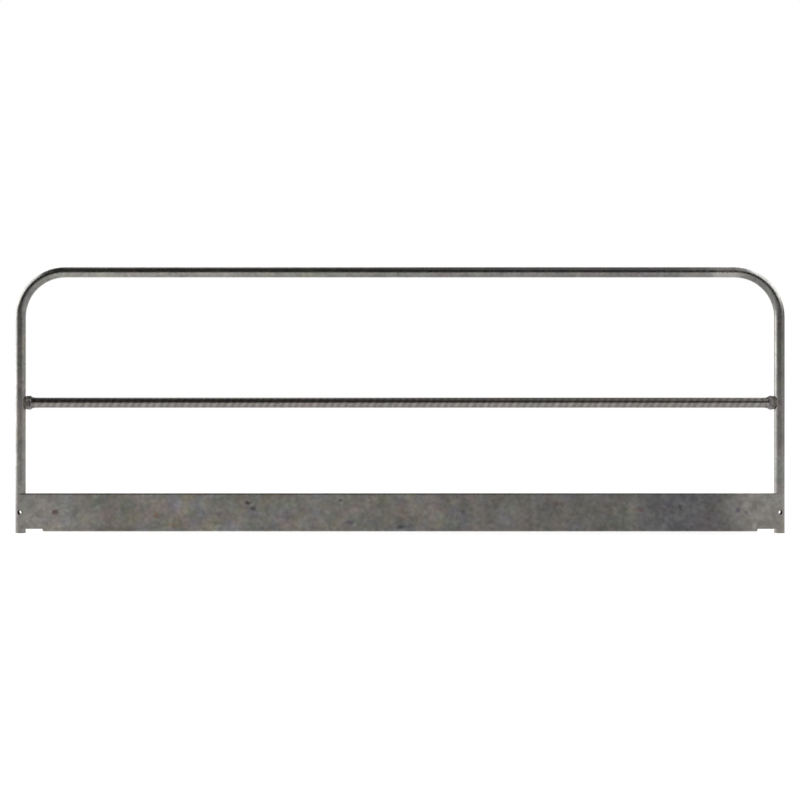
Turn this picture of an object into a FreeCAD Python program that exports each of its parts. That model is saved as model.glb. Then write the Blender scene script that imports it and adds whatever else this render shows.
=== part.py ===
import FreeCAD, Part
import math
import os

from FreeCAD import Vector

# One section of temporary guardrail, all in millimetres. A round tube is bent
# into a hoop whose two open feet slip over the spigots of floor bases. A mid
# rail of the same tube runs between the posts in six-sided collars, and a
# folded toe board laps the front of both posts near the ground.
# X runs along the rail, the toe board is on the -Y side and Z points up. The
# origin is on the ground, midway between the feet.

# Hoop
post_spacing = 3048.0
rail_top = 1066.8
tube_diameter = 41.275
tube_wall = 2.77
bend_radius = 180.0

# Mid rail, whose square-cut ends stop a root gap short of the posts
mid_rail_height = 522.6
mid_rail_diameter = 41.275
mid_rail_wall = 2.77
mid_rail_gap = 0.6

# Collars: a six-sided body with a corner at the top, a turned shoulder and a
# flared neck that thins to a lip on the rail
collar_flats = 47.6
collar_body = 14.7
collar_shoulder = 5.3
collar_shoulder_drop = 4.1
collar_flare = 9.0
collar_lip = 0.8
collar_fit = 0.1

# Weld that joins the end of a collar to the round of the post: an upright oval,
# which stays inside the collar's six sides and also closes the rail's end
ring_width = 6.0
ring_half_height = 26.4
ring_half_width = 21.8
ring_bite = 1.0
ring_edge = 0.8

# Toe board
board_height = 152.4
board_lift = 6.9
board_sheet = 2.66
board_inside_bend = 2.4
board_flange = 25.4
board_end_inset = 1.2
notch_length = 92.5
notch_depth = 10.7
notch_slant = 3.2
relief_clearance = 4.0
relief_corner = 2.5

# Cross hole for the pin that locks a post to its base
pin_hole_diameter = 17.5

# Stitch welds in the wedge between a post and the back of the toe board
stitch_length = 32.0
stitch_offset = 44.0
stitch_reach = 18.0
stitch_angle = 40.0
stitch_crown = 0.8

tube_radius = tube_diameter / 2
mid_rail_radius = mid_rail_diameter / 2
post_x = post_spacing / 2
post_face = post_x - tube_radius
mid_rail_end = post_face - mid_rail_gap
top_line = rail_top - tube_radius
board_back = -tube_radius
board_front = board_back - board_sheet
board_top = board_lift + board_height
board_middle = board_lift + board_height / 2
board_end = post_x - board_end_inset
hex_corner_radius = collar_flats / math.sqrt(3)

along_x = Vector(1, 0, 0)
along_y = Vector(0, 1, 0)
up = Vector(0, 0, 1)


def line(start, end):
    return Part.LineSegment(start, end).toShape()


def arc(start, middle, end):
    return Part.Arc(start, middle, end).toShape()


# Centre line of the hoop, from the left foot over the top to the right foot
def hoop_path():
    corner = bend_radius * (1 - math.sqrt(0.5))
    spring = top_line - bend_radius
    left = [Vector(-post_x, 0, 0),
            Vector(-post_x, 0, spring),
            Vector(-post_x + corner, 0, top_line - corner),
            Vector(-post_x + bend_radius, 0, top_line)]
    right = [Vector(-point.x, 0, point.z) for point in left]
    return Part.Wire([line(left[0], left[1]),
                      arc(left[1], left[2], left[3]),
                      line(left[3], right[3]),
                      arc(right[3], right[2], right[1]),
                      line(right[1], right[0])])


def swept_round(path, radius):
    start = path.OrderedVertexes[0].Point
    section = Part.Wire(Part.makeCircle(radius, start, up))
    return path.makePipeShell([section], True, False)


# Cross hole on a post's centre line, long enough to pass the board as well
def pin_bore(side):
    reach = 2 * (tube_radius + board_sheet)
    start = Vector(side * post_x, -reach, board_middle)
    return Part.makeCylinder(pin_hole_diameter / 2, 2 * reach, start, along_y)


def hoop_tube():
    path = hoop_path()
    hoop = swept_round(path, tube_radius).cut(swept_round(path, tube_radius - tube_wall))
    return hoop.cut(pin_bore(-1)).cut(pin_bore(1))


def mid_rail_tube():
    start = Vector(-mid_rail_end, 0, mid_rail_height)
    outside = Part.makeCylinder(mid_rail_radius, 2 * mid_rail_end, start, along_x)
    inside = Part.makeCylinder(mid_rail_radius - mid_rail_wall, 2 * mid_rail_end, start, along_x)
    return outside.cut(inside)


# Point of a profile that is turned about the mid rail: distance from the post
# towards the middle of the rail, and radius
def rail_point(from_post, radius):
    return Vector(post_face - from_post, 0, mid_rail_height + radius)


def turned(edges):
    axis_point = Vector(0, 0, mid_rail_height)
    return Part.Face(Part.Wire(edges)).revolve(axis_point, along_x, 360)


# Outer form of a collar as turned: plain up to the shoulder, a cone that cuts
# the six corners back, and a concave flare that thins to a lip on the rail
def collar_turning():
    bore = mid_rail_radius + collar_fit
    shoulder_radius = hex_corner_radius - collar_shoulder_drop
    lip_radius = bore + collar_lip
    shoulder_start = ring_width + collar_body
    flare_start = shoulder_start + collar_shoulder
    tip = flare_start + collar_flare
    rise = shoulder_radius - lip_radius
    flare_radius = (collar_flare ** 2 + rise ** 2) / (2 * rise)
    half = collar_flare / 2
    half_rise = flare_radius - math.sqrt(flare_radius ** 2 - half ** 2)
    points = [rail_point(ring_width, bore),
              rail_point(ring_width, hex_corner_radius),
              rail_point(shoulder_start, hex_corner_radius),
              rail_point(flare_start, shoulder_radius),
              rail_point(tip - half, lip_radius + half_rise),
              rail_point(tip, lip_radius),
              rail_point(tip, bore)]
    return turned([line(points[0], points[1]),
                   line(points[1], points[2]),
                   line(points[2], points[3]),
                   arc(points[3], points[4], points[5]),
                   line(points[5], points[6]),
                   line(points[6], points[0])])


def hex_bar(length):
    corners = []
    for step in range(7):
        angle = math.radians(60 * step)
        corners.append(Vector(post_face,
                              hex_corner_radius * math.sin(angle),
                              mid_rail_height + hex_corner_radius * math.cos(angle)))
    return Part.Face(Part.makePolygon(corners)).extrude(Vector(-length, 0, 0))


def right_collar():
    full_length = ring_width + collar_body + collar_shoulder + collar_flare
    return collar_turning().common(hex_bar(2 * full_length))


# The weld is fitted to the post, so it reaches a little way round it
def right_collar_weld():
    centre = rail_point(ring_width, 0)
    side = centre + along_y * ring_half_width
    oval = Part.Ellipse(rail_point(ring_width, ring_half_height), side, centre).toShape()
    bar = Part.Face(Part.Wire(oval)).extrude(along_x * (ring_width + ring_bite))
    rims = [edge for edge in bar.Edges if edge.BoundBox.XLength < ring_edge]
    rail = Part.makeCylinder(mid_rail_radius, mid_rail_end, Vector(0, 0, mid_rail_height), along_x)
    post = Part.makeCylinder(tube_radius, rail_top, Vector(post_x, 0, 0), up)
    return bar.makeFillet(ring_edge, rims).cut(rail).cut(post)


# Box whose front bottom and front top edges are rounded
def rounded_bar(front, depth, bottom, top, radius):
    bar = Part.makeBox(2 * board_end, depth, top - bottom, Vector(-board_end, front, bottom))
    edges = [edge for edge in bar.Edges
             if edge.BoundBox.XLength > board_end
             and edge.BoundBox.YMax < front + depth / 2]
    return bar.makeFillet(radius, edges)


# Relief at the bottom corner of the board, with a slanted inner end
def bottom_notch():
    inner = post_x - notch_length
    outer = post_x + tube_radius
    low = board_lift - notch_depth
    high = board_lift + notch_depth
    corners = [Vector(inner - notch_slant, board_front - board_sheet, board_lift),
               Vector(inner, board_front - board_sheet, high),
               Vector(outer, board_front - board_sheet, high),
               Vector(outer, board_front - board_sheet, low),
               Vector(inner - notch_slant, board_front - board_sheet, low)]
    outline = Part.makePolygon(corners + corners[:1])
    return Part.Face(outline).extrude(along_y * (board_flange + 3 * board_sheet))


# Room for the post behind the board, cut out of both flanges
def post_relief():
    inner = post_face - relief_clearance
    depth = board_flange + tube_diameter
    box = Part.makeBox(post_x + tube_radius - inner, depth, 2 * board_height,
                       Vector(inner, board_back, board_lift - board_height / 2))
    edges = [edge for edge in box.Edges
             if edge.BoundBox.ZLength > board_height
             and edge.BoundBox.XMax < inner + relief_clearance
             and edge.BoundBox.YMax < board_back + depth / 2]
    return box.makeFillet(relief_corner, edges)


def mirrored(shape):
    return shape.mirror(Vector(0, 0, 0), along_x)


def toe_board():
    bend = board_inside_bend
    board = rounded_bar(board_front, board_flange, board_lift, board_top, bend + board_sheet)
    hollow = rounded_bar(board_back, board_flange, board_lift + board_sheet,
                         board_top - board_sheet, bend)
    board = board.cut(hollow)
    for cutter in (bottom_notch(), post_relief(), pin_bore(1)):
        board = board.cut(cutter).cut(mirrored(cutter))
    return board


# Stitch weld on the inner side of the right post, centred at a given height
def right_stitch(height):
    angle = math.radians(stitch_angle)
    bottom = height - stitch_length / 2
    root = Vector(post_x, board_back, bottom)
    toe = Vector(post_x - stitch_reach, board_back, bottom)
    crest = Vector(post_x - tube_radius * math.sin(angle),
                   -tube_radius * math.cos(angle), bottom)
    chord = crest - toe
    outward = Vector(-chord.y, chord.x, 0).normalize()
    crown = (toe + crest) * 0.5 + outward * stitch_crown
    section = Part.Face(Part.Wire([line(root, toe), arc(toe, crown, crest), line(crest, root)]))
    post = Part.makeCylinder(tube_radius, rail_top, Vector(post_x, 0, 0), up)
    return section.extrude(up * stitch_length).cut(post)


def build_nodes():
    nodes = {"hoop_tube": hoop_tube(),
             "mid_rail_tube": mid_rail_tube(),
             "toe_board": toe_board()}
    handed = {"collar": right_collar(),
              "collar_weld": right_collar_weld(),
              "board_weld_upper": right_stitch(board_middle + stitch_offset),
              "board_weld_lower": right_stitch(board_middle - stitch_offset)}
    for name, shape in handed.items():
        nodes["right_" + name] = shape
        nodes["left_" + name] = mirrored(shape)
    return nodes


os.makedirs("parts", exist_ok=True)
for name, shape in build_nodes().items():
    shape.exportStep("parts/" + name + ".step")
    print(name, "solids", len(shape.Solids), "volume", round(shape.Volume), "valid", shape.isValid())
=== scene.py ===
import math
import bmesh
import bpy
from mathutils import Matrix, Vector


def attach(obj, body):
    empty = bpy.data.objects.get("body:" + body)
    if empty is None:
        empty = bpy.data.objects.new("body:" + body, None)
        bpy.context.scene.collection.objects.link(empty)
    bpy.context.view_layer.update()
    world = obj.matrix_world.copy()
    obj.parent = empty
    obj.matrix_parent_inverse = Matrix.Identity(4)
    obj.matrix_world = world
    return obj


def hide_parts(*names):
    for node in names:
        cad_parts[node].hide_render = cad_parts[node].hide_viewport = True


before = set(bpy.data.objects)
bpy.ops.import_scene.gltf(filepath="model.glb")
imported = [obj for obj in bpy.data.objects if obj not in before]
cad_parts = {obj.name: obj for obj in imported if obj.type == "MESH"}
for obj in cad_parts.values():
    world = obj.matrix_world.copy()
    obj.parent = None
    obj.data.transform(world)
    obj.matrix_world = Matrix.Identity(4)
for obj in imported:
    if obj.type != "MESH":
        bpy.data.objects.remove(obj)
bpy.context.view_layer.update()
print("frame loaded:", ", ".join(sorted(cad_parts)))


def hexColour(text):  # sRGB hex to the linear colour a socket takes
    levels = [int(text[i:i + 2], 16) / 255 for i in (1, 3, 5)]
    return tuple(v / 12.92 if v <= 0.04045 else ((v + 0.055) / 1.055) ** 2.4 for v in levels) + (1.0,)


def addNode(tree, kind, inputs=None, **settings):  # one node with its settings, values and links
    node = tree.nodes.new(kind)
    for name, value in settings.items():
        setattr(node, name, value)
    for key, value in (inputs or {}).items():
        if isinstance(value, bpy.types.NodeSocket):
            tree.links.new(value, node.inputs[key])
        else:
            node.inputs[key].default_value = value
    return node


def newMaterial(name):
    material = bpy.data.materials.new(name)
    material.use_nodes = True
    material.node_tree.nodes.clear()
    return material, material.node_tree


def dress(nodeName, material):
    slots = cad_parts[nodeName].data.materials
    slots.clear()
    slots.append(material)


# Camera, from the solved view: square on, 6 m off, level with the panel's middle
view = {"distance": 5.997, "height": 0.5334, "lens": 67.18, "sensor": 36.0, "sight": 200.0}

cameraData = bpy.data.cameras.new("guardrailCamera")
cameraData.lens = view["lens"]
cameraData.sensor_width = view["sensor"]
cameraData.clip_end = view["sight"]
camera = bpy.data.objects.new("guardrailCamera", cameraData)
camera.location = (0, -view["distance"], view["height"])
camera.rotation_euler = (math.radians(90), 0, 0)
bpy.context.scene.collection.objects.link(camera)
bpy.context.scene.camera = camera
bpy.context.scene.view_settings.view_transform = "Standard"
print("camera set")

# Studio: pale floor, white surround, a soft box on the left, and panels that only
# the steel's reflections see. Dark walls and a dark ceiling at the front and left
# draw the dark upper band of each rail, a grey wall and paler ceilings soften it
# towards the right, and a glow in each upper side corner lights the bends' rims
studio = {
    "floorSize": 120.0, "floorDiffuse": 0.8, "floorGlow": 0.74,
    "surroundLevel": 1.0, "fillLevel": 0.42,
    "wallY": -8.5, "wallHeight": 5.5, "sideX": 9.0, "wallLevel": 0.045,
    "leftWallY": -5.2, "rightWallY": 9.0, "rightWallLevel": 0.35,
    "leftCeilingY": 1.2, "farLeftX": -2.6, "farLeftY": 6.0,
    "rightCeilingY": -3.6, "softCeilingY": 9.0, "softCeilingLevel": 0.32,
    "farRightX": 1.4, "farCeilingLevel": 0.4,
    # Each glow: X of its inner edge at its near and far end, near and far Y, low edge, level
    "glows": {"rightGlow": (4.3, 3.1, -5.2, 7.0, 3.3, 4.4),
              "leftGlow": (-5.6, -5.0, -3.0, 6.0, 3.1, 3.6)},
    "glowInset": 0.1,
    "boxPlace": (-7.0, 2.7, 2.0), "boxSize": (6.0, 4.0), "boxPower": 195.0,
}


def seenAsWhite(tree):  # 1 for rays that should meet the white background
    path = addNode(tree, "ShaderNodeLightPath")
    first = addNode(tree, "ShaderNodeMath", {
        0: path.outputs["Is Camera Ray"], 1: path.outputs["Is Glossy Ray"]}, operation="ADD")
    both = addNode(tree, "ShaderNodeMath", {
        0: first.outputs[0], 1: path.outputs["Is Transmission Ray"]}, operation="ADD", use_clamp=True)
    return both.outputs[0]


def buildWorld():
    world = bpy.data.worlds.new("studioWorld")
    world.use_nodes = True
    tree = world.node_tree
    tree.nodes.clear()
    level = addNode(tree, "ShaderNodeMapRange", {
        "Value": seenAsWhite(tree), "To Min": studio["fillLevel"], "To Max": studio["surroundLevel"]})
    shade = addNode(tree, "ShaderNodeBackground", {"Color": hexColour("#ffffff"), "Strength": level.outputs[0]})
    addNode(tree, "ShaderNodeOutputWorld", {"Surface": shade.outputs[0]})
    bpy.context.scene.world = world


def sheetObject(name, corners, material):
    mesh = bpy.data.meshes.new(name)
    mesh.from_pydata(corners, [], [tuple(range(len(corners)))])
    mesh.materials.append(material)
    sheet = bpy.data.objects.new(name, mesh)
    bpy.context.scene.collection.objects.link(sheet)
    return sheet


def buildFloor():
    material, tree = newMaterial("paleFloor")
    glow = addNode(tree, "ShaderNodeMath", {
        0: seenAsWhite(tree), 1: studio["floorGlow"]}, operation="MULTIPLY")
    lit = addNode(tree, "ShaderNodeBsdfDiffuse", {"Color": (studio["floorDiffuse"],) * 3 + (1,)})
    light = addNode(tree, "ShaderNodeEmission", {"Color": hexColour("#ffffff"), "Strength": glow.outputs[0]})
    both = addNode(tree, "ShaderNodeAddShader", {0: lit.outputs[0], 1: light.outputs[0]})
    addNode(tree, "ShaderNodeOutputMaterial", {"Surface": both.outputs[0]})
    half = studio["floorSize"] / 2
    sheetObject("floor", [(-half, -half, 0), (half, -half, 0), (half, half, 0), (-half, half, 0)], material)


def panelMaterial(name, level):  # a reflecting panel seen at one even level
    material, tree = newMaterial(name)
    shade = addNode(tree, "ShaderNodeEmission", {"Color": hexColour("#ffffff"), "Strength": level})
    addNode(tree, "ShaderNodeOutputMaterial", {"Surface": shade.outputs[0]})
    return material


def wallCorners(start, end, low, top):  # an upright panel between two points of the plan
    return [(*start, low), (*end, low), (*end, top), (*start, top)]


def buildPanels():
    side, top, front = studio["sideX"], studio["wallHeight"], studio["wallY"]
    dark = panelMaterial("darkPanel", studio["wallLevel"])
    grey = panelMaterial("greyWall", studio["rightWallLevel"])
    soft = panelMaterial("greyCeiling", studio["softCeilingLevel"])
    pale = panelMaterial("paleCeiling", studio["farCeilingLevel"])
    panels = {
        "darkWall": (wallCorners((-side, front), (side, front), 0, top), dark),
        "darkSideWall": (wallCorners((-side, front), (-side, studio["leftWallY"]), 0, top), dark),
        "greySideWall": (wallCorners((side, front), (side, studio["rightWallY"]), 0, top), grey),
    }
    leftY, rightY, rearY = studio["leftCeilingY"], studio["rightCeilingY"], studio["softCeilingY"]
    ceilings = {  # left, right, near and far edge
        "darkCeilingLeft": (-side, 0, front, leftY, dark),
        "darkCeilingFarLeft": (-side, studio["farLeftX"], leftY, studio["farLeftY"], dark),
        "darkCeilingRight": (0, side, front, rightY, dark),
        "greyCeilingRight": (0, studio["farRightX"], rightY, rearY, soft),
        "paleCeilingRight": (studio["farRightX"], side, rightY, rearY, pale),
    }
    for name, (left, right, near, far, material) in ceilings.items():
        corners = [(left, near, top), (right, near, top), (right, far, top), (left, far, top)]
        panels[name] = (corners, material)

    # A glow is two panels, one just under the ceiling and one just inside the side wall
    for name, (nearX, farX, near, far, low, level) in studio["glows"].items():
        glow = panelMaterial(name, level)
        edge = math.copysign(side - studio["glowInset"], nearX)
        under = top - studio["glowInset"]
        corners = [(nearX, near, under), (edge, near, under), (edge, far, under), (farX, far, under)]
        panels[name + "Ceiling"] = (corners, glow)
        panels[name + "Wall"] = (wallCorners((edge, near), (edge, far), low, under), glow)
    for name, (corners, material) in panels.items():
        panel = sheetObject(name, corners, material)
        panel.visible_camera = False
        panel.visible_diffuse = False


def softBox(name, place, size, power):
    data = bpy.data.lights.new(name, "AREA")
    data.shape = "RECTANGLE"
    data.size, data.size_y = size
    data.energy = power
    lamp = bpy.data.objects.new(name, data)
    lamp.location = place
    lamp.rotation_euler = (math.radians(90), 0, math.radians(-90))
    bpy.context.scene.collection.objects.link(lamp)


buildWorld()
buildFloor()
buildPanels()
softBox("leftSoftBox", studio["boxPlace"], studio["boxSize"], studio["boxPower"])
print("studio built")


def soften(tree, value, low, high, top):  # eases from 0 at low to top at high
    return addNode(tree, "ShaderNodeMapRange", {
        "Value": value, "From Min": low, "From Max": high, "To Max": top},
        interpolation_type="SMOOTHSTEP").outputs[0]


# Tints for the real stains and for the patches of painted light and shade
stainAndShadeTints = {
    "brown": "#6a5854", "dark": "#4c4f4a", "deepPaintedShade": "#343633", "plum": "#6d6270", "rust": "#8d7264",
    "pale": "#b4b0aa", "dull": "#62626a", "grey": "#666564", "brightPaintedLight": "#dcd9d2",
}

# What all the zinc shares: how soft each field is, where it turns dark or light,
# and how far a stain frays. A stain narrower than smallStain is on the front only
zinc = {
    "detail": 2.0, "softness": 0.5, "darkAt": 0.3, "lightAt": 0.7, "middle": 0.5,
    "borderShift": 0.7, "borderScale": 2.0, "borderDetail": 1.0,
    "tintSoftness": 0.55, "tintFrom": 0.46, "tintFull": 0.7, "tintSeed": 10.0, "tintSeedStep": 3.7,
    "smallStain": 0.05, "turnAway": 0.05, "stainFray": 0.04, "mostFray": 1.2, "stainFull": 0.8,
    "dullAt": 0.5, "glossAt": 1.5,
}


# Hot-dip galvanised mild steel that has weathered outdoors. The zinc froze in
# crystals and has dulled in soft patches, so it looks satin to matt and leans a
# little pink, green, ochre or blue from patch to patch, with a few darker stains and, where a look lists them,
# patches of painted light and shade
def zincSkin(name, look):
    material, tree = newMaterial(name)
    coordinates = addNode(tree, "ShaderNodeTexCoord").outputs
    place = coordinates["Object"]
    fields = []
    for index, size in enumerate((look["driftSize"], look["cloudSize"], look["grainSize"], look["peelSize"])):
        fields.append(addNode(tree, "ShaderNodeTexNoise", {
            "Vector": place, "W": look["seed"] + index, "Scale": 1 / size, "Detail": zinc["detail"],
            "Roughness": zinc["softness"]}, noise_dimensions="4D").outputs["Fac"])
    drift, cloud, grain, peel = fields

    # Each crystal of zinc keeps one tone, and its border is a little ragged
    border = addNode(tree, "ShaderNodeTexNoise", {
        "Vector": place, "Scale": zinc["borderScale"] / look["crystalSize"], "Detail": zinc["borderDetail"]})
    shove = addNode(tree, "ShaderNodeVectorMath", {
        0: border.outputs["Color"], "Scale": zinc["borderShift"] * look["crystalSize"]}, operation="SCALE")
    shoved = addNode(tree, "ShaderNodeVectorMath", {0: place, 1: shove.outputs[0]}, operation="ADD")
    crystal = addNode(tree, "ShaderNodeTexVoronoi", {
        "Vector": shoved.outputs[0], "Scale": 1 / look["crystalSize"]})
    crystal = addNode(tree, "ShaderNodeSeparateColor", {"Color": crystal.outputs["Color"]}).outputs["Red"]

    # Colour: the base tone, then each leaning tint in its own patches
    colour = addNode(tree, "ShaderNodeRGB").outputs[0]
    colour.default_value = hexColour(look["tone"])
    for index, (tint, size, strength) in enumerate(look["tints"]):
        noise = addNode(tree, "ShaderNodeTexNoise", {
            "Vector": place, "W": look["seed"] + zinc["tintSeed"] + zinc["tintSeedStep"] * index,
            "Scale": 1 / size, "Detail": zinc["detail"], "Roughness": zinc["tintSoftness"]},
            noise_dimensions="4D").outputs["Fac"]
        cover = soften(tree, noise, zinc["tintFrom"], zinc["tintFull"], strength)
        mix = addNode(tree, "ShaderNodeMix", {
            "Factor": cover, "A": colour, "B": hexColour(tint)}, data_type="RGBA")
        colour = mix.outputs["Result"]

    # Stains, pale and dull places and patches of painted light and shade, each set where it lies on the piece.
    # The broad ones are soft and go all round it, the small ones are ragged and only on its front
    facing = addNode(tree, "ShaderNodeSeparateXYZ", {0: coordinates["Normal"]}).outputs["Y"]
    front = soften(tree, facing, zinc["turnAway"], -zinc["turnAway"], 1.0)
    ragged = addNode(tree, "ShaderNodeMath", {0: grain, 1: zinc["middle"]}, operation="SUBTRACT").outputs[0]
    for kind, x, z, wide, high, strength in look["stainsAndPaintedLight"]:
        offset = addNode(tree, "ShaderNodeVectorMath", {0: place, 1: (x, 0, z)}, operation="SUBTRACT")
        scaled = addNode(tree, "ShaderNodeVectorMath", {0: offset.outputs[0], 1: (1 / wide, 0, 1 / high)},
                         operation="MULTIPLY")
        reach = addNode(tree, "ShaderNodeVectorMath", {0: scaled.outputs[0]}, operation="LENGTH")
        fray = min(zinc["mostFray"], zinc["stainFray"] / wide)
        edge = addNode(tree, "ShaderNodeMath", {
            0: ragged, 1: fray, 2: reach.outputs["Value"]}, operation="MULTIPLY_ADD")
        inside = addNode(tree, "ShaderNodeMath", {0: 1.0, 1: edge.outputs[0]}, operation="SUBTRACT")
        cover = soften(tree, inside.outputs[0], 0.0, zinc["stainFull"], strength)
        if wide < zinc["smallStain"]:
            cover = addNode(tree, "ShaderNodeMath", {0: cover, 1: front}, operation="MULTIPLY").outputs[0]
        mix = addNode(tree, "ShaderNodeMix", {
            "Factor": cover, "A": colour, "B": hexColour(stainAndShadeTints[kind])}, data_type="RGBA")
        colour = mix.outputs["Result"]

    # Light and dark: slow drift along the piece, clouds, grain and crystals, and where the mesh carries it, the
    # painted shade and light of markAndShade
    low, high = zinc["darkAt"], zinc["lightAt"]
    swings = [(drift, low, high, look["driftSpread"]), (cloud, low, high, look["cloudSpread"]),
              (grain, low, high, look["grainSpread"]), (crystal, 0.0, 1.0, look["crystalSpread"])]
    if "markShadeSpread" in look:  # the mesh says where: the rail's spiral grooves and the weld's crown get painted shade, the weld metal off the crown painted light
        markAndShade = addNode(tree, "ShaderNodeAttribute", attribute_name="markAndShade").outputs["Fac"]
        swings.append((markAndShade, 0.0, 1.0, look["markShadeSpread"]))
    level = 1.0
    for field, low, high, spread in swings:
        swing = addNode(tree, "ShaderNodeMapRange", {
            "Value": field, "From Min": low, "From Max": high, "To Min": 1 - spread, "To Max": 1 + spread})
        level = addNode(tree, "ShaderNodeMath", {
            0: level, 1: swing.outputs[0]}, operation="MULTIPLY").outputs[0]
    toned = addNode(tree, "ShaderNodeVectorMath", {0: colour, "Scale": level}, operation="SCALE").outputs[0]

    # The coat is slightly uneven, like the peel of an orange, and dull where it is darker
    bump = addNode(tree, "ShaderNodeBump", {"Height": peel, "Strength": 1.0, "Distance": look["peelDepth"]})
    gloss = addNode(tree, "ShaderNodeMath", {0: cloud, 1: crystal}, operation="ADD").outputs[0]
    rough = addNode(tree, "ShaderNodeMapRange", {
        "Value": gloss, "From Min": zinc["dullAt"], "From Max": zinc["glossAt"],
        "To Min": look["roughness"] + look["roughSpread"], "To Max": look["roughness"] - look["roughSpread"]})
    shade = addNode(tree, "ShaderNodeBsdfPrincipled", {
        "Base Color": toned, "Metallic": look["metallic"], "Roughness": rough.outputs[0],
        "Normal": bump.outputs["Normal"]})
    addNode(tree, "ShaderNodeOutputMaterial", {"Surface": shade.outputs[0]})
    return material


# Sizes are in metres. On tube, rail and board the tinted patches are 50 to 130 mm,
# the crystals 9 to 12 mm and the peel 5 to 6 mm, which is coarser than the real
# 2 mm so that it shows. A stain or painted patch of light or shade is its tint, X, Z, half width, half height,
# strength

# Welded steel tube, bent and then dipped whole: satin, in soft grey clouds
hoopLook = {
    "tone": "#81807e", "metallic": 1.0, "roughness": 0.32, "roughSpread": 0.05, "seed": 2.0,
    "driftSize": 0.35, "driftSpread": 0.14, "cloudSize": 0.06, "cloudSpread": 0.15,
    "grainSize": 0.016, "grainSpread": 0.14, "crystalSize": 0.011, "crystalSpread": 0.05,
    "peelSize": 0.005, "peelDepth": 0.00005,
    "tints": [("#8f8182", 0.11, 0.6), ("#7b8276", 0.10, 0.6), ("#8b8672", 0.07, 0.4)],
    # Painted light: the two pale patches that run up the posts lift them, the left more than the right, and the
    # two bright ones lighten the posts beside the collar welds
    "stainsAndPaintedLight": [("pale", -1.524, 0.40, 0.08, 0.62, 0.25), ("pale", 1.524, 0.40, 0.08, 0.62, 0.18),
               ("pale", -0.9, 1.046, 0.9, 0.1, 0.3), ("dull", 0.9, 1.046, 0.9, 0.1, 0.25),
               ("pale", 1.31, 1.046, 0.1, 0.06, 0.5),
               ("grey", -1.455, 0.985, 0.16, 0.16, 0.45), ("grey", 1.455, 0.985, 0.16, 0.16, 0.45),
               ("brightPaintedLight", -1.5075, 0.5215, 0.0065, 0.027, 0.95),
               ("brightPaintedLight", 1.5075, 0.5215, 0.0065, 0.027, 0.95)],
}

# Galvanised tube that went through straightening rolls: satin, even and marked, with painted shade of the
# shallow ridges along the spiral grooves
railLook = {
    "tone": "#85817e", "metallic": 1.0, "roughness": 0.33, "roughSpread": 0.03, "seed": 31.0,
    "driftSize": 0.45, "driftSpread": 0.02, "cloudSize": 0.09, "cloudSpread": 0.04,
    "grainSize": 0.012, "grainSpread": 0.1, "crystalSize": 0.009, "crystalSpread": 0.04,
    "peelSize": 0.005, "peelDepth": 0.0001, "markShadeSpread": 0.25,
    "tints": [("#8f8485", 0.13, 0.4), ("#848782", 0.12, 0.3), ("#8b8479", 0.10, 0.3)],
    "stainsAndPaintedLight": [],
}

# Folded galvanised sheet, weathered: matt, mottled in four faint tints and stained
boardLook = {
    "tone": "#898680", "metallic": 1.0, "roughness": 0.45, "roughSpread": 0.05, "seed": 57.0,
    "driftSize": 0.32, "driftSpread": 0.1, "cloudSize": 0.055, "cloudSpread": 0.17,
    "grainSize": 0.018, "grainSpread": 0.14, "crystalSize": 0.012, "crystalSpread": 0.07,
    "peelSize": 0.006, "peelDepth": 0.00012,
    "tints": [("#988888", 0.065, 0.6), ("#828c7a", 0.06, 0.6), ("#918872", 0.05, 0.45),
              ("#82848d", 0.075, 0.6)],
    # The four broad patches make the board darker to the right of the middle and lighter at both ends; the
    # small ones are stains
    "stainsAndPaintedLight": [("grey", 1.0, 0.085, 1.3, 1.3, 0.5), ("dull", 1.12, 0.085, 0.24, 0.3, 0.55),
               ("pale", 1.53, 0.085, 0.29, 0.3, 0.55), ("pale", -1.45, 0.085, 0.3, 0.3, 0.3),
               ("brown", -1.383, 0.086, 0.017, 0.015, 0.85), ("dark", -0.606, 0.121, 0.018, 0.011, 0.9),
               ("dark", -0.588, 0.100, 0.014, 0.016, 0.7), ("dark", -0.238, 0.132, 0.010, 0.010, 0.8),
               ("plum", -0.204, 0.042, 0.018, 0.015, 0.7), ("dark", 0.003, 0.026, 0.024, 0.011, 0.7),
               ("rust", -0.976, 0.074, 0.017, 0.016, 0.7), ("rust", -0.915, 0.035, 0.032, 0.016, 0.5),
               ("plum", -0.725, 0.081, 0.024, 0.014, 0.6), ("brown", 0.955, 0.094, 0.034, 0.014, 0.6),
               ("dark", 1.122, 0.106, 0.008, 0.014, 0.7), ("plum", 1.080, 0.120, 0.024, 0.017, 0.5),
               ("plum", 1.353, 0.090, 0.014, 0.014, 0.7), ("plum", 1.387, 0.084, 0.014, 0.013, 0.6),
               ("pale", 1.383, 0.117, 0.016, 0.018, 0.5), ("pale", 1.419, 0.034, 0.015, 0.019, 0.6),
               ("plum", 0.250, 0.078, 0.012, 0.022, 0.5), ("brown", 0.628, 0.117, 0.024, 0.014, 0.4)],
}

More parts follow.
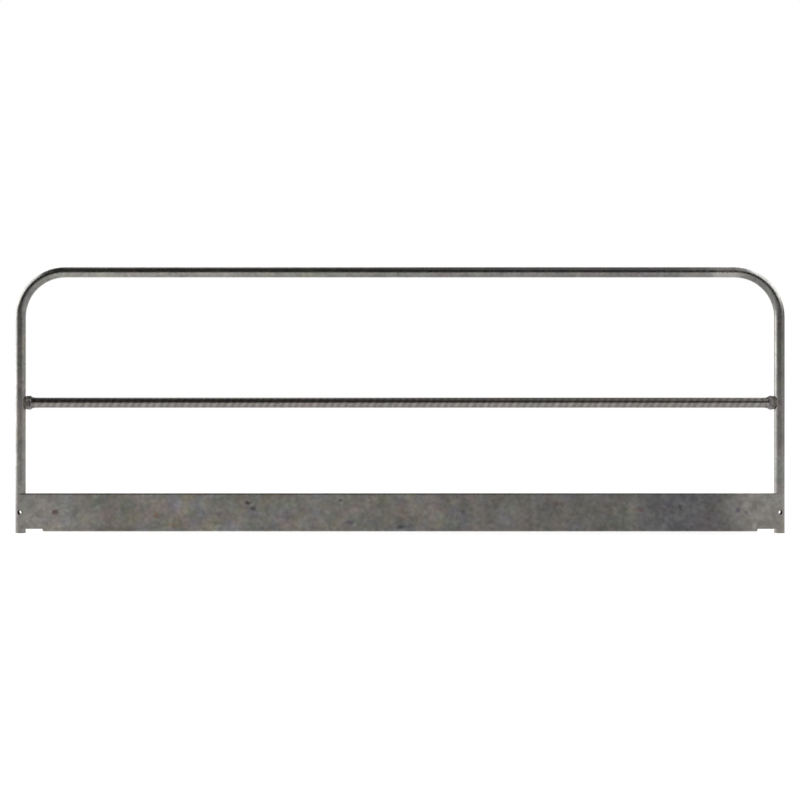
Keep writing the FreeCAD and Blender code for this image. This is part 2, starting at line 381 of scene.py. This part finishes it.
# Six-sided bar, turned and then galvanised: darker, a little plum, sharp at its corners
collarLook = {
    "tone": "#757271", "metallic": 1.0, "roughness": 0.36, "roughSpread": 0.05, "seed": 83.0,
    "driftSize": 0.1, "driftSpread": 0.05, "cloudSize": 0.015, "cloudSpread": 0.14,
    "grainSize": 0.006, "grainSpread": 0.1, "crystalSize": 0.007, "crystalSpread": 0.06,
    "peelSize": 0.003, "peelDepth": 0.0001,
    "tints": [("#82767c", 0.02, 0.6)],
    # All of these are painted light and shade: painted shade along each collar's top rim, pale painted light on
    # the faces, painted shade on the shoulders, and painted light with a painted glint on the right neck
    "stainsAndPaintedLight": [("dark", -1.4925, 0.549, 0.021, 0.009, 0.95), ("deepPaintedShade", 1.4925, 0.549, 0.021, 0.013, 0.95),
               ("pale", 1.489, 0.525, 0.013, 0.022, 0.7), ("pale", -1.493, 0.534, 0.008, 0.009, 0.5),
               ("dark", -1.478, 0.540, 0.006, 0.013, 0.7), ("dark", 1.478, 0.528, 0.004, 0.012, 0.5),
               ("dark", -1.481, 0.523, 0.006, 0.03, 0.7), ("pale", 1.4725, 0.523, 0.006, 0.02, 0.6),
               ("brightPaintedLight", 1.4705, 0.533, 0.0065, 0.006, 0.8)],
}

# Weld metal with a thin coat of zinc: warm grey, rougher, brown and blue in places, with painted shade on the
# crown and painted light on the metal tucked in off it
weldLook = {
    "tone": "#9b9388", "metallic": 1.0, "roughness": 0.45, "roughSpread": 0.08, "seed": 97.0,
    "driftSize": 0.1, "driftSpread": 0.05, "cloudSize": 0.008, "cloudSpread": 0.15,
    "grainSize": 0.003, "grainSpread": 0.12, "crystalSize": 0.004, "crystalSpread": 0.05,
    "peelSize": 0.0015, "peelDepth": 0.00008, "markShadeSpread": 0.5,
    "tints": [("#9c8672", 0.01, 0.5), ("#8a8c94", 0.014, 0.5)],
    "stainsAndPaintedLight": [],
}

galvanisedTube = zincSkin("galvanisedTube", hoopLook)
galvanisedRail = zincSkin("galvanisedRail", railLook)
galvanisedSheet = zincSkin("galvanisedSheet", boardLook)
galvanisedBar = zincSkin("galvanisedBar", collarLook)
weldMetal = zincSkin("weldMetal", weldLook)

dress("hoop_tube", galvanisedTube)
dress("toe_board", galvanisedSheet)
dress("left_collar", galvanisedBar)
dress("right_collar", galvanisedBar)
print("surfaces dressed")


def newTree(name, numbers):  # a node tree with a mesh in and out, named numbers and a material
    tree = bpy.data.node_groups.new(name, "GeometryNodeTree")
    for way in ("INPUT", "OUTPUT"):
        tree.interface.new_socket(name="Geometry", in_out=way, socket_type="NodeSocketGeometry")
    for number in numbers:
        tree.interface.new_socket(name=number, in_out="INPUT", socket_type="NodeSocketFloat")
    tree.interface.new_socket(name="Finish", in_out="INPUT", socket_type="NodeSocketMaterial")
    return tree, addNode(tree, "NodeGroupInput").outputs


def endTree(tree, shape, finish):
    whole = addNode(tree, "GeometryNodeRealizeInstances", {"Geometry": shape})
    painted = addNode(tree, "GeometryNodeSetMaterial", {"Geometry": whole.outputs[0], "Material": finish})
    addNode(tree, "NodeGroupOutput", {"Geometry": painted.outputs[0]})


def finishPiece(piece, tree, values, nodeName):  # runs the tree into a plain mesh that stands for a node
    modifier = piece.modifiers.new(tree.name, "NODES")
    modifier.node_group = tree
    for item in tree.interface.items_tree:
        if item.in_out == "INPUT" and item.name in values:
            modifier[item.identifier] = values[item.name]
    graph = bpy.context.evaluated_depsgraph_get()
    mesh = bpy.data.meshes.new_from_object(piece.evaluated_get(graph), preserve_all_data_layers=True,
                                           depsgraph=graph)
    piece.modifiers.remove(modifier)
    piece.data = mesh
    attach(piece, "root")
    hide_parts(nodeName)
    print(piece.name, "made,", len(mesh.polygons), "faces")


def meshPiece(name, bm):
    bmesh.ops.recalc_face_normals(bm, faces=bm.faces)
    mesh = bpy.data.meshes.new(name)
    bm.to_mesh(mesh)
    bm.free()
    piece = bpy.data.objects.new(name, mesh)
    bpy.context.scene.collection.objects.link(piece)
    return piece


# Mid rail: a straight tube that passed between straightening rolls, which left
# a double spiral of shallow tracks on it
midRail = {
    "halfLength": 1.5027, "height": 0.5226, "radius": 0.0206375, "wall": 0.00277,
    "ringGap": 0.0036, "sides": 60, "endFlat": 0.001,
    "markSpacing": 0.02854, "markStart": 0.0039, "starts": 2.0, "markDepth": 0.00036,
    "markLevel": 0.5, "markSwing": 0.38, "secondSwing": 0.12,
    "wander": 1.2, "wanderScale": 14.0, "wanderSeed": 4.0, "wanderDetail": 1.0,
    "bareHalfLength": 1.462, "fade": 0.02,
}


def plainTube():
    bm = bmesh.new()
    outer, inner = midRail["radius"], midRail["radius"] - midRail["wall"]
    steps = round(2 * midRail["halfLength"] / midRail["ringGap"])
    places = [(outer, -1 + 2 * i / steps) for i in range(steps + 1)] + [(inner, 1), (inner, 0), (inner, -1)]
    loops = []
    for radius, along in places:
        loop = []
        for k in range(midRail["sides"]):
            turn = 2 * math.pi * k / midRail["sides"]
            loop.append(bm.verts.new((along * midRail["halfLength"], -radius * math.cos(turn),
                                      midRail["height"] + radius * math.sin(turn))))
        loops.append(loop)
    for one, other in zip(loops, loops[1:] + loops[:1]):
        for k in range(midRail["sides"]):
            n = (k + 1) % midRail["sides"]
            face = bm.faces.new((one[k], one[n], other[n], other[k]))
            face.smooth = abs(one[k].co.x - other[k].co.x) > midRail["endFlat"]  # the square ends stay flat
    return meshPiece("markedMidRail", bm)


def spiralTree():
    tree, given = newTree("spiralMarks", ("Mark Spacing", "Mark Start", "Starts", "Depth", "Axis Height",
                                          "Bare Half Length", "Fade", "Skin Radius"))
    place = addNode(tree, "GeometryNodeInputPosition").outputs[0]
    parts = addNode(tree, "ShaderNodeSeparateXYZ", {0: place}).outputs
    height = addNode(tree, "ShaderNodeMath", {
        0: parts["Z"], 1: given["Axis Height"]}, operation="SUBTRACT").outputs[0]
    front = addNode(tree, "ShaderNodeMath", {0: parts["Y"], 1: -1.0}, operation="MULTIPLY").outputs[0]
    turn = addNode(tree, "ShaderNodeMath", {0: height, 1: front}, operation="ARCTAN2").outputs[0]
    around = addNode(tree, "ShaderNodeMath", {0: turn, 1: given["Starts"]}, operation="MULTIPLY").outputs[0]
    along = addNode(tree, "ShaderNodeMath", {
        0: parts["X"], 1: given["Mark Start"]}, operation="SUBTRACT").outputs[0]
    count = addNode(tree, "ShaderNodeMath", {
        0: along, 1: given["Mark Spacing"]}, operation="DIVIDE").outputs[0]
    angle = addNode(tree, "ShaderNodeMath", {0: count, 1: 2 * math.pi}, operation="MULTIPLY").outputs[0]
    wander = addNode(tree, "ShaderNodeTexNoise", {
        "Vector": place, "W": midRail["wanderSeed"], "Scale": midRail["wanderScale"],
        "Detail": midRail["wanderDetail"]}, noise_dimensions="4D").outputs[0]
    shift = addNode(tree, "ShaderNodeMath", {
        0: wander, 1: 2 * midRail["wander"], 2: -midRail["wander"]}, operation="MULTIPLY_ADD").outputs[0]
    phase = addNode(tree, "ShaderNodeMath", {0: angle, 1: around}, operation="SUBTRACT").outputs[0]
    phase = addNode(tree, "ShaderNodeMath", {0: phase, 1: shift}, operation="ADD").outputs[0]
    wave = addNode(tree, "ShaderNodeMath", {0: phase}, operation="COSINE").outputs[0]
    halfPhase = addNode(tree, "ShaderNodeMath", {0: phase, 1: 0.5}, operation="MULTIPLY").outputs[0]
    halfWave = addNode(tree, "ShaderNodeMath", {0: halfPhase}, operation="COSINE").outputs[0]
    markAndShade = addNode(tree, "ShaderNodeMath", {
        0: wave, 1: midRail["markSwing"], 2: midRail["markLevel"]}, operation="MULTIPLY_ADD").outputs[0]
    markAndShade = addNode(tree, "ShaderNodeMath", {
        0: halfWave, 1: midRail["secondSwing"], 2: markAndShade}, operation="MULTIPLY_ADD").outputs[0]

    # Deep only on the outer skin, and not under the collars
    flat = addNode(tree, "ShaderNodeCombineXYZ", {"Y": parts["Y"], "Z": height}).outputs[0]
    radius = addNode(tree, "ShaderNodeVectorMath", {0: flat}, operation="LENGTH").outputs["Value"]
    skin = addNode(tree, "ShaderNodeMath", {
        0: radius, 1: given["Skin Radius"]}, operation="GREATER_THAN").outputs[0]
    far = addNode(tree, "ShaderNodeMath", {0: parts["X"]}, operation="ABSOLUTE").outputs[0]
    left = addNode(tree, "ShaderNodeMath", {
        0: given["Bare Half Length"], 1: far}, operation="SUBTRACT").outputs[0]
    ease = addNode(tree, "ShaderNodeMath", {
        0: left, 1: given["Fade"]}, operation="DIVIDE", use_clamp=True).outputs[0]
    cover = addNode(tree, "ShaderNodeMath", {0: skin, 1: ease}, operation="MULTIPLY").outputs[0]
    low = addNode(tree, "ShaderNodeMath", {0: markAndShade, 1: 1.0}, operation="SUBTRACT").outputs[0]
    sink = addNode(tree, "ShaderNodeMath", {0: low, 1: given["Depth"]}, operation="MULTIPLY").outputs[0]
    sink = addNode(tree, "ShaderNodeMath", {0: sink, 1: cover}, operation="MULTIPLY").outputs[0]
    outward = addNode(tree, "ShaderNodeVectorMath", {0: flat}, operation="NORMALIZE").outputs[0]
    offset = addNode(tree, "ShaderNodeVectorMath", {0: outward, "Scale": sink}, operation="SCALE").outputs[0]
    shape = addNode(tree, "GeometryNodeSetPosition", {
        "Geometry": given["Geometry"], "Offset": offset}).outputs[0]
    # The mark is kept on the mesh for the rail's finish, which paints the grooves darker as painted shade
    shape = addNode(tree, "GeometryNodeStoreNamedAttribute", {
        "Geometry": shape, "Name": "markAndShade", "Value": markAndShade}, data_type="FLOAT", domain="POINT").outputs[0]
    endTree(tree, shape, given["Finish"])
    return tree


finishPiece(plainTube(), spiralTree(), {
    "Mark Spacing": midRail["markSpacing"], "Mark Start": midRail["markStart"], "Starts": midRail["starts"],
    "Depth": midRail["markDepth"], "Axis Height": midRail["height"],
    "Bare Half Length": midRail["bareHalfLength"], "Fade": midRail["fade"],
    "Skin Radius": midRail["radius"] - midRail["wall"] / 2, "Finish": galvanisedRail,
}, "mid_rail_tube")


# Welds: the crown of each bead carries the crescent ripples that a hand-held
# torch leaves, one for each move of the pool
bead = {
    "rippleSpacing": 0.0024, "rippleDepth": 0.0005, "bow": 0.45, "stepsPerRipple": 7,
    "postX": 1.524, "postRadius": 0.0206375,
    "ringHeight": 0.5226, "ringHalfHeight": 0.0264, "ringHalfWidth": 0.0218, "ringLength": 0.006,
    "ringBite": 0.001, "ringInside": 0.0204, "ringCrown": 0.0014, "ringPoints": 12,
    "rootGap": 0.0005, "plateReaches": (0.0006, 0.0045, 0.008, 0.0115, 0.016), "postSink": 0.0002,
    "boardBack": -0.0206375, "boardMiddle": 0.0831, "stitchOffset": 0.044, "stitchLength": 0.032,
    "stitchReach": 0.018, "stitchAngle": 40.0, "stitchCrown": 0.0012, "stitchPoints": 12,
    "stitchEnd": 0.005, "stitchEndSize": 0.45, "stitchSeats": (1.0, 0.7, 0.4, 0.12),
}


def beadPiece(name, sections, crownCount, lengths, closed):  # sections are loops, crown points first
    bm = bmesh.new()
    along = bm.verts.layers.float.new("along")
    across = bm.verts.layers.float.new("across")
    crown = bm.verts.layers.float.new("crown")
    paintedLightLevel = bm.verts.layers.float.new("markAndShade")
    loops = []
    for section, length in zip(sections, lengths):
        loop = []
        for index, point in enumerate(section):
            vert = bm.verts.new(point)
            onCrown = index < crownCount
            vert[along] = length
            vert[across] = 2 * index / (crownCount - 1) - 1 if onCrown else 0.0
            vert[crown] = 1.0 if onCrown else 0.0
            # Painted light and shade: the crown gets 0 and is painted darker, the weld metal off the crown gets
            # 1 and is painted lighter
            vert[paintedLightLevel] = 1 - vert[crown]
            loop.append(vert)
        loops.append(loop)
    pairs = list(zip(loops, loops[1:]))
    if closed:
        pairs.append((loops[-1], loops[0]))
    else:
        bm.faces.new(loops[0])
        bm.faces.new(loops[-1])
    for one, other in pairs:
        for k in range(len(one)):
            n = (k + 1) % len(one)
            bm.faces.new((one[k], one[n], other[n], other[k])).smooth = k < crownCount - 1
    return meshPiece(name, bm)


# The collar's weld: an oval bead round the rail's end and a plate of weld metal
# that closes it, both laid against the round of the post
def ringPiece(name, side):
    face = bead["postX"] - bead["postRadius"]
    inner = [(face - bead["ringLength"], bead["ringInside"]), (face - bead["rootGap"], bead["ringInside"]),
             (face - bead["rootGap"], bead["plateReaches"][0])]
    inner += [(face + bead["ringBite"], reach) for reach in bead["plateReaches"]]
    around = math.pi * (bead["ringHalfHeight"] + bead["ringHalfWidth"])
    ripples = round(around / bead["rippleSpacing"])
    steps = ripples * bead["stepsPerRipple"]
    sections, lengths = [], []
    for step in range(steps):
        turn = 2 * math.pi * step / steps
        places = []
        for k in range(bead["ringPoints"]):
            share = k / (bead["ringPoints"] - 1)
            drop = bead["ringCrown"] * (2 * share - 1) ** 2
            places.append((face + bead["ringBite"] - share * (bead["ringLength"] + bead["ringBite"]),
                           bead["ringHalfWidth"] - drop, bead["ringHalfHeight"] - drop))
        places += [(x, reach, reach) for x, reach in inner]
        section = []
        for x, wide, high in places:
            y = wide * math.sin(turn)
            if abs(y) < bead["postRadius"]:
                x = min(x, bead["postX"] - math.sqrt(bead["postRadius"] ** 2 - y ** 2) + bead["postSink"])
            section.append(Vector((side * x, y, bead["ringHeight"] + high * math.cos(turn))))
        sections.append(section)
        lengths.append(ripples * bead["rippleSpacing"] * step / steps)
    return beadPiece(name, sections, bead["ringPoints"], lengths, True)


def stitchPiece(name, side, middle):
    steps = round(bead["stitchLength"] / bead["rippleSpacing"] * bead["stepsPerRipple"])
    sections, lengths = [], []
    for step in range(steps + 1):
        rise = bead["stitchLength"] * step / steps
        inset = min(rise, bead["stitchLength"] - rise) / bead["stitchEnd"]
        size = 1.0
        if inset < 1:  # the ends are rounded off
            size = bead["stitchEndSize"] + (1 - bead["stitchEndSize"]) * math.sqrt(1 - (1 - inset) ** 2)
        height = middle - bead["stitchLength"] / 2 + rise
        reach = bead["stitchReach"] * size
        angle = math.radians(bead["stitchAngle"]) * size
        toe = Vector((bead["postX"] - reach, bead["boardBack"], height))
        onPost = [Vector((bead["postX"] - bead["postRadius"] * math.sin(share * angle),
                          -bead["postRadius"] * math.cos(share * angle), height))
                  for share in bead["stitchSeats"]]  # down the round of the post to the root
        chord = onPost[0] - toe
        out = Vector((-chord.y, chord.x, 0)).normalized()
        section = []
        for k in range(bead["stitchPoints"]):
            share = k / (bead["stitchPoints"] - 1)
            section.append(toe + chord * share + out * (4 * bead["stitchCrown"] * size * share * (1 - share)))
        section += onPost[1:] + [Vector((onPost[-1].x, bead["boardBack"], height))]
        sections.append([Vector((side * point.x, point.y, point.z)) for point in section])
        lengths.append(rise)
    return beadPiece(name, sections, bead["stitchPoints"], lengths, False)


def rippleTree():
    tree, given = newTree("weldRipples", ("Ripple Spacing", "Ripple Depth", "Bow"))
    along, across, crown = (
        addNode(tree, "GeometryNodeInputNamedAttribute", {"Name": name}, data_type="FLOAT").outputs[0]
        for name in ("along", "across", "crown"))
    square = addNode(tree, "ShaderNodeMath", {0: across, 1: across}, operation="MULTIPLY").outputs[0]
    curve = addNode(tree, "ShaderNodeMath", {0: square, 1: given["Bow"]}, operation="MULTIPLY").outputs[0]
    count = addNode(tree, "ShaderNodeMath", {
        0: along, 1: given["Ripple Spacing"]}, operation="DIVIDE").outputs[0]
    count = addNode(tree, "ShaderNodeMath", {0: count, 1: curve}, operation="SUBTRACT").outputs[0]
    angle = addNode(tree, "ShaderNodeMath", {0: count, 1: math.pi}, operation="MULTIPLY").outputs[0]
    wave = addNode(tree, "ShaderNodeMath", {0: angle}, operation="SINE").outputs[0]
    hump = addNode(tree, "ShaderNodeMath", {0: wave}, operation="ABSOLUTE").outputs[0]
    low = addNode(tree, "ShaderNodeMath", {0: hump, 1: 1.0}, operation="SUBTRACT").outputs[0]
    edge = addNode(tree, "ShaderNodeMath", {0: 1.0, 1: square}, operation="SUBTRACT").outputs[0]
    sink = addNode(tree, "ShaderNodeMath", {0: low, 1: given["Ripple Depth"]}, operation="MULTIPLY").outputs[0]
    sink = addNode(tree, "ShaderNodeMath", {0: sink, 1: edge}, operation="MULTIPLY").outputs[0]
    sink = addNode(tree, "ShaderNodeMath", {0: sink, 1: crown}, operation="MULTIPLY").outputs[0]
    normal = addNode(tree, "GeometryNodeInputNormal").outputs[0]
    offset = addNode(tree, "ShaderNodeVectorMath", {0: normal, "Scale": sink}, operation="SCALE").outputs[0]
    shape = addNode(tree, "GeometryNodeSetPosition", {
        "Geometry": given["Geometry"], "Offset": offset}).outputs[0]
    endTree(tree, shape, given["Finish"])
    return tree


ripples = rippleTree()
rippleValues = {
    "Ripple Spacing": bead["rippleSpacing"], "Ripple Depth": bead["rippleDepth"], "Bow": bead["bow"],
    "Finish": weldMetal,
}
for sideName, side in (("left", -1), ("right", 1)):
    finishPiece(ringPiece(sideName + "CollarBead", side), ripples, rippleValues,
                sideName + "_collar_weld")
    for levelName, shift in (("Upper", 1), ("Lower", -1)):
        middle = bead["boardMiddle"] + shift * bead["stitchOffset"]
        finishPiece(stitchPiece(sideName + levelName + "Stitch", side, middle), ripples, rippleValues,
                    sideName + "_board_weld_" + levelName.lower())
print("welds laid")
